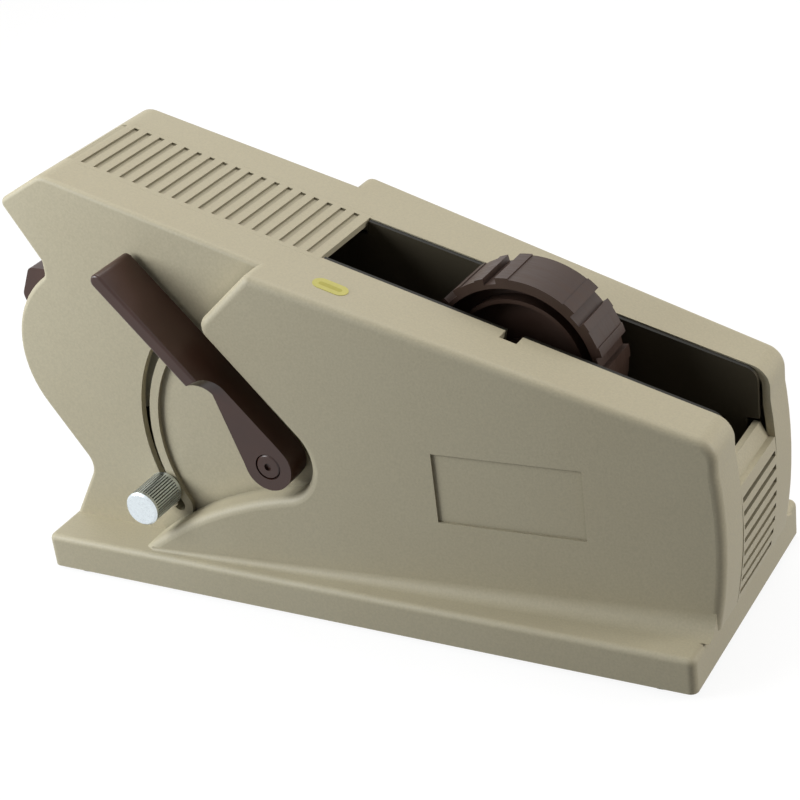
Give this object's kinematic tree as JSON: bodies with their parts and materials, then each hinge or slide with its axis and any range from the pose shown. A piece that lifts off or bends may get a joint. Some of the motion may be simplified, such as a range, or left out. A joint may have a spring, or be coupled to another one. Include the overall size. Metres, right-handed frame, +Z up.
{
  "type": "definite-length tape dispenser",
  "caption": "Desk tape dispenser with a side lever that feeds a set length, a knob in an arc slot to set the length, a lift-out tape hub and a serrated cutter.",
  "frame": {"origin": "centre of the base's footprint, on the plane the rubber feet stand on", "axes": "+Z up, -X towards the nose where the tape comes out, -Y towards the lever side"},
  "size_m": [0.3087, 0.124, 0.1744],
  "materials": {
    "housing": "fine moulded texture, beige",
    "brown_plastic": "smooth dark brown moulding",
    "black_steel": "semi-gloss black enamel",
    "bright_steel": "plated, lightly brushed",
    "bronze": "sintered",
    "pale_nylon": "natural nylon",
    "rubber": "matt black"
  },
  "bodies": {
    "housing": {"base": "housing", "ballast_plate": "bright_steel", "rubber_feet": "rubber", "ballast_screws": "bright_steel", "lever_side_shell": "housing", "plain_side_shell": "housing", "top_cover": "housing", "rear_panel": "housing", "lever_side_plate": "black_steel", "plain_side_plate": "black_steel", "well_floor": "black_steel", "frame_spacers": "black_steel", "spacer_screws": "bright_steel", "drum_bush_lever_side": "bronze", "drum_bush_plain_side": "bronze", "lever_bush_inner": "bronze", "lever_bush_outer": "bronze", "return_spring": "bright_steel", "spring_post": "bright_steel", "roller_pin": "bright_steel", "cutter_head": "brown_plastic", "cutter_blade": "bright_steel", "blade_screws": "bright_steel", "tape_guide": "bright_steel"},
    "lever_group": {"lever": "brown_plastic", "lever_shaft": "bright_steel", "lever_screw": "brown_plastic", "sector_collar": "bright_steel", "drive_sector": "pale_nylon", "spring_collar": "bright_steel"},
    "feed_drum": {"drum_core": "pale_nylon", "drum_tyre": "rubber", "drum_shaft": "bright_steel", "drum_clip": "bright_steel", "drum_pinion": "pale_nylon"},
    "roller": {"guide_roller": "pale_nylon"},
    "length_stop": {"stop_stud": "bright_steel"},
    "knob": {"length_knob": "bright_steel"},
    "hub_carriage": {"hub_axle": "bright_steel"},
    "hub": {"tape_hub": "brown_plastic"}
  },
  "joints": [
    {"name": "lever_press", "type": "hinge", "parent": "housing", "child": "lever_group", "pos_m": [-0.0298, 0, 0.0662], "axis": [0, -1, 0], "range_deg": [0, 60], "stiffness_Nm_per_rad": 0.25, "springref_deg": -20.05},
    {"name": "drum_turn", "type": "hinge", "parent": "housing", "child": "feed_drum", "pos_m": [-0.11226, 0, 0.09395], "axis": [0, -1, 0], "range_deg": [-159, 1]},
    {"name": "roller_turn", "type": "hinge", "parent": "housing", "child": "roller", "pos_m": [-0.058, 0, 0.126], "axis": [0, 1, 0], "continuous": true},
    {"name": "length_set", "type": "hinge", "parent": "housing", "child": "length_stop", "pos_m": [-0.0298, 0, 0.0662], "axis": [0, -1, 0], "range_deg": [-6, 3]},
    {"name": "knob_turn", "type": "hinge", "parent": "length_stop", "child": "knob", "pos_m": [-0.09083, 0, 0.04029], "axis": [0, -1, 0], "continuous": true},
    {"name": "hub_lift", "type": "slide", "parent": "housing", "child": "hub_carriage", "axis": [0.2768, 0, 0.9609], "range_m": [0, 0.025]},
    {"name": "hub_turn", "type": "hinge", "parent": "hub_carriage", "child": "hub", "pos_m": [0.06, 0, 0.0998], "axis": [0, 1, 0], "continuous": true}
  ],
  "couplings": [
    {"joint": "drum_turn", "follows": "lever_press", "ratio": -2.625}
  ]
}
